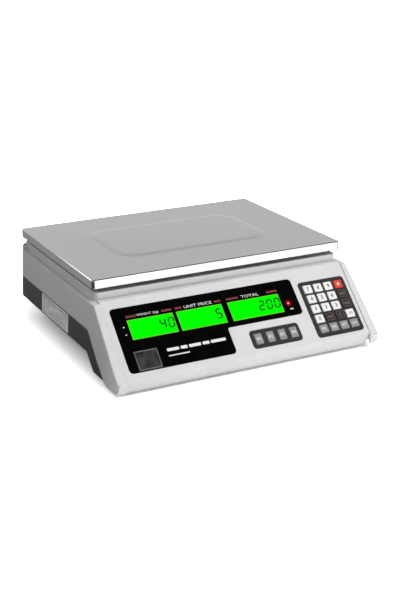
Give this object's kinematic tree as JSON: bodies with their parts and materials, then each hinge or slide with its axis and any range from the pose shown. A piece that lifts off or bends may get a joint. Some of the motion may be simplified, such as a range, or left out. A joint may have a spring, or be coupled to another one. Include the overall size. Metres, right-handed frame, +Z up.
{
  "type": "retail price scale",
  "caption": "Counter price-computing scale: lift-off weighing tray on a load cell over a sloping front with three displays and push keys.",
  "frame": {"origin": "on the counter, under the middle of the housing", "axes": "+X to the operator's right, +Y away from the operator, +Z up"},
  "size_m": [0.342, 0.322, 0.1161],
  "materials": {
    "light_abs": "fine satin moulding",
    "dark_abs": "fine satin moulding",
    "tray_steel": "fine brushed stainless steel",
    "black_acrylic": "gloss printed panel",
    "green_lcd": "backlit green display glass",
    "red_lens": "clear red lens",
    "smoked_window": "smoked window",
    "level_vial": "clear vial with liquid",
    "keypad_black": "fine matt frame",
    "key_white": "satin key cap",
    "key_red": "satin key cap",
    "key_black": "satin key cap",
    "key_grey": "satin key cap",
    "rocker_black": "gloss rocker",
    "circuit_board": "solder-masked board",
    "aluminium": "machined",
    "zinc_plate": "zinc plated steel",
    "dark_steel": "varnished laminations",
    "battery_case": "plain moulding",
    "black_nylon": "plain moulding",
    "rubber": "matt",
    "label_film": "printed film"
  },
  "bodies": {
    "housing": {"upper_case": "light_abs", "lower_case": "dark_abs", "front_fascia": "light_abs", "display_window": "black_acrylic", "lcd_weight": "green_lcd", "lcd_unit_price": "green_lcd", "lcd_total": "green_lcd", "display_board": "circuit_board", "indicator_lamp": "red_lens", "level_window": "smoked_window", "spirit_level": "level_vial", "number_key_frame": "keypad_black", "memory_key_frame": "keypad_black", "keypad_board": "circuit_board", "load_cell": "aluminium", "load_cell_base": "zinc_plate", "platform_spider": "zinc_plate", "battery": "battery_case", "battery_strap": "zinc_plate", "transformer": "dark_steel", "main_board": "circuit_board", "power_inlet": "black_nylon", "rear_window": "black_acrylic", "rear_lcd": "green_lcd", "switch_frame": "black_nylon", "rating_label": "label_film"},
    "tray": {"tray": "tray_steel"},
    "power_rocker": {"power_rocker": "rocker_black"},
    "key_7": {"key_7": "key_white"},
    "key_8": {"key_8": "key_white"},
    "key_9": {"key_9": "key_white"},
    "key_light": {"key_light": "key_red"},
    "key_4": {"key_4": "key_white"},
    "key_5": {"key_5": "key_white"},
    "key_6": {"key_6": "key_white"},
    "key_zero_set": {"key_zero_set": "key_black"},
    "key_1": {"key_1": "key_white"},
    "key_2": {"key_2": "key_white"},
    "key_3": {"key_3": "key_white"},
    "key_tare": {"key_tare": "key_black"},
    "key_0": {"key_0": "key_white"},
    "key_add": {"key_add": "key_black"},
    "key_clear": {"key_clear": "key_black"},
    "key_point": {"key_point": "key_white"},
    "key_m5": {"key_m5": "key_grey"},
    "key_m6": {"key_m6": "key_grey"},
    "key_m7": {"key_m7": "key_grey"},
    "key_save": {"key_save": "key_grey"},
    "key_m1": {"key_m1": "key_grey"},
    "key_m2": {"key_m2": "key_grey"},
    "key_m3": {"key_m3": "key_grey"},
    "key_m4": {"key_m4": "key_grey"},
    "foot_pad_front_left": {"foot_pad_front_left": "rubber"},
    "foot_stud_front_left": {"foot_stud_front_left": "zinc_plate"},
    "foot_pad_front_right": {"foot_pad_front_right": "rubber"},
    "foot_stud_front_right": {"foot_stud_front_right": "zinc_plate"},
    "foot_pad_rear_left": {"foot_pad_rear_left": "rubber"},
    "foot_stud_rear_left": {"foot_stud_rear_left": "zinc_plate"},
    "foot_pad_rear_right": {"foot_pad_rear_right": "rubber"},
    "foot_stud_rear_right": {"foot_stud_rear_right": "zinc_plate"}
  },
  "joints": [
    {"name": "tray_lift", "type": "slide", "parent": "housing", "child": "tray", "axis": [0, 0, 1], "range_m": [0, 0.06]},
    {"name": "power_rocker_tilt", "type": "hinge", "parent": "housing", "child": "power_rocker", "pos_m": [0.156, -0.048, 0.0304], "axis": [1, 0, 0], "range_deg": [-16, 0]},
    {"name": "key_7_press", "type": "slide", "parent": "housing", "child": "key_7", "axis": [0, 0.7009, -0.7133], "range_m": [0, 0.0008], "stiffness_N_per_m": 1500, "springref_m": -0.0002},
    {"name": "key_8_press", "type": "slide", "parent": "housing", "child": "key_8", "axis": [0, 0.7009, -0.7133], "range_m": [0, 0.0008], "stiffness_N_per_m": 1500, "springref_m": -0.0002},
    {"name": "key_9_press", "type": "slide", "parent": "housing", "child": "key_9", "axis": [0, 0.7009, -0.7133], "range_m": [0, 0.0008], "stiffness_N_per_m": 1500, "springref_m": -0.0002},
    {"name": "key_light_press", "type": "slide", "parent": "housing", "child": "key_light", "axis": [0, 0.7009, -0.7133], "range_m": [0, 0.0008], "stiffness_N_per_m": 1500, "springref_m": -0.0002},
    {"name": "key_4_press", "type": "slide", "parent": "housing", "child": "key_4", "axis": [0, 0.7009, -0.7133], "range_m": [0, 0.0008], "stiffness_N_per_m": 1500, "springref_m": -0.0002},
    {"name": "key_5_press", "type": "slide", "parent": "housing", "child": "key_5", "axis": [0, 0.7009, -0.7133], "range_m": [0, 0.0008], "stiffness_N_per_m": 1500, "springref_m": -0.0002},
    {"name": "key_6_press", "type": "slide", "parent": "housing", "child": "key_6", "axis": [0, 0.7009, -0.7133], "range_m": [0, 0.0008], "stiffness_N_per_m": 1500, "springref_m": -0.0002},
    {"name": "key_zero_set_press", "type": "slide", "parent": "housing", "child": "key_zero_set", "axis": [0, 0.7009, -0.7133], "range_m": [0, 0.0008], "stiffness_N_per_m": 1500, "springref_m": -0.0002},
    {"name": "key_1_press", "type": "slide", "parent": "housing", "child": "key_1", "axis": [0, 0.7009, -0.7133], "range_m": [0, 0.0008], "stiffness_N_per_m": 1500, "springref_m": -0.0002},
    {"name": "key_2_press", "type": "slide", "parent": "housing", "child": "key_2", "axis": [0, 0.7009, -0.7133], "range_m": [0, 0.0008], "stiffness_N_per_m": 1500, "springref_m": -0.0002},
    {"name": "key_3_press", "type": "slide", "parent": "housing", "child": "key_3", "axis": [0, 0.7009, -0.7133], "range_m": [0, 0.0008], "stiffness_N_per_m": 1500, "springref_m": -0.0002},
    {"name": "key_tare_press", "type": "slide", "parent": "housing", "child": "key_tare", "axis": [0, 0.7009, -0.7133], "range_m": [0, 0.0008], "stiffness_N_per_m": 1500, "springref_m": -0.0002},
    {"name": "key_0_press", "type": "slide", "parent": "housing", "child": "key_0", "axis": [0, 0.7009, -0.7133], "range_m": [0, 0.0008], "stiffness_N_per_m": 1500, "springref_m": -0.0002},
    {"name": "key_add_press", "type": "slide", "parent": "housing", "child": "key_add", "axis": [0, 0.7009, -0.7133], "range_m": [0, 0.0008], "stiffness_N_per_m": 1500, "springref_m": -0.0002},
    {"name": "key_clear_press", "type": "slide", "parent": "housing", "child": "key_clear", "axis": [0, 0.7009, -0.7133], "range_m": [0, 0.0008], "stiffness_N_per_m": 1500, "springref_m": -0.0002},
    {"name": "key_point_press", "type": "slide", "parent": "housing", "child": "key_point", "axis": [0, 0.7009, -0.7133], "range_m": [0, 0.0008], "stiffness_N_per_m": 1500, "springref_m": -0.0002},
    {"name": "key_m5_press", "type": "slide", "parent": "housing", "child": "key_m5", "axis": [0, 0.7009, -0.7133], "range_m": [0, 0.0008], "stiffness_N_per_m": 1500, "springref_m": -0.0002},
    {"name": "key_m6_press", "type": "slide", "parent": "housing", "child": "key_m6", "axis": [0, 0.7009, -0.7133], "range_m": [0, 0.0008], "stiffness_N_per_m": 1500, "springref_m": -0.0002},
    {"name": "key_m7_press", "type": "slide", "parent": "housing", "child": "key_m7", "axis": [0, 0.7009, -0.7133], "range_m": [0, 0.0008], "stiffness_N_per_m": 1500, "springref_m": -0.0002},
    {"name": "key_save_press", "type": "slide", "parent": "housing", "child": "key_save", "axis": [0, 0.7009, -0.7133], "range_m": [0, 0.0008], "stiffness_N_per_m": 1500, "springref_m": -0.0002},
    {"name": "key_m1_press", "type": "slide", "parent": "housing", "child": "key_m1", "axis": [0, 0.7009, -0.7133], "range_m": [0, 0.0008], "stiffness_N_per_m": 1500, "springref_m": -0.0002},
    {"name": "key_m2_press", "type": "slide", "parent": "housing", "child": "key_m2", "axis": [0, 0.7009, -0.7133], "range_m": [0, 0.0008], "stiffness_N_per_m": 1500, "springref_m": -0.0002},
    {"name": "key_m3_press", "type": "slide", "parent": "housing", "child": "key_m3", "axis": [0, 0.7009, -0.7133], "range_m": [0, 0.0008], "stiffness_N_per_m": 1500, "springref_m": -0.0002},
    {"name": "key_m4_press", "type": "slide", "parent": "housing", "child": "key_m4", "axis": [0, 0.7009, -0.7133], "range_m": [0, 0.0008], "stiffness_N_per_m": 1500, "springref_m": -0.0002},
    {"name": "foot_front_left_slide", "type": "slide", "parent": "housing", "child": "foot_pad_front_left", "axis": [0, 0, 1], "range_m": [-0.005, 0]},
    {"name": "foot_front_left_spin", "type": "hinge", "parent": "foot_pad_front_left", "child": "foot_stud_front_left", "pos_m": [-0.124, -0.075, 0], "axis": [0, 0, 1], "range_deg": [-1440, 0]},
    {"name": "foot_front_right_slide", "type": "slide", "parent": "housing", "child": "foot_pad_front_right", "axis": [0, 0, 1], "range_m": [-0.005, 0]},
    {"name": "foot_front_right_spin", "type": "hinge", "parent": "foot_pad_front_right", "child": "foot_stud_front_right", "pos_m": [0.124, -0.075, 0], "axis": [0, 0, 1], "range_deg": [-1440, 0]},
    {"name": "foot_rear_left_slide", "type": "slide", "parent": "housing", "child": "foot_pad_rear_left", "axis": [0, 0, 1], "range_m": [-0.005, 0]},
    {"name": "foot_rear_left_spin", "type": "hinge", "parent": "foot_pad_rear_left", "child": "foot_stud_rear_left", "pos_m": [-0.124, 0.129, 0], "axis": [0, 0, 1], "range_deg": [-1440, 0]},
    {"name": "foot_rear_right_slide", "type": "slide", "parent": "housing", "child": "foot_pad_rear_right", "axis": [0, 0, 1], "range_m": [-0.005, 0]},
    {"name": "foot_rear_right_spin", "type": "hinge", "parent": "foot_pad_rear_right", "child": "foot_stud_rear_right", "pos_m": [0.124, 0.129, 0], "axis": [0, 0, 1], "range_deg": [-1440, 0]}
  ],
  "couplings": [
    {"joint": "foot_front_left_slide", "follows": "foot_front_left_spin", "m_per_rad": 0.0001989},
    {"joint": "foot_front_right_slide", "follows": "foot_front_right_spin", "m_per_rad": 0.0001989},
    {"joint": "foot_rear_left_slide", "follows": "foot_rear_left_spin", "m_per_rad": 0.0001989},
    {"joint": "foot_rear_right_slide", "follows": "foot_rear_right_spin", "m_per_rad": 0.0001989}
  ]
}
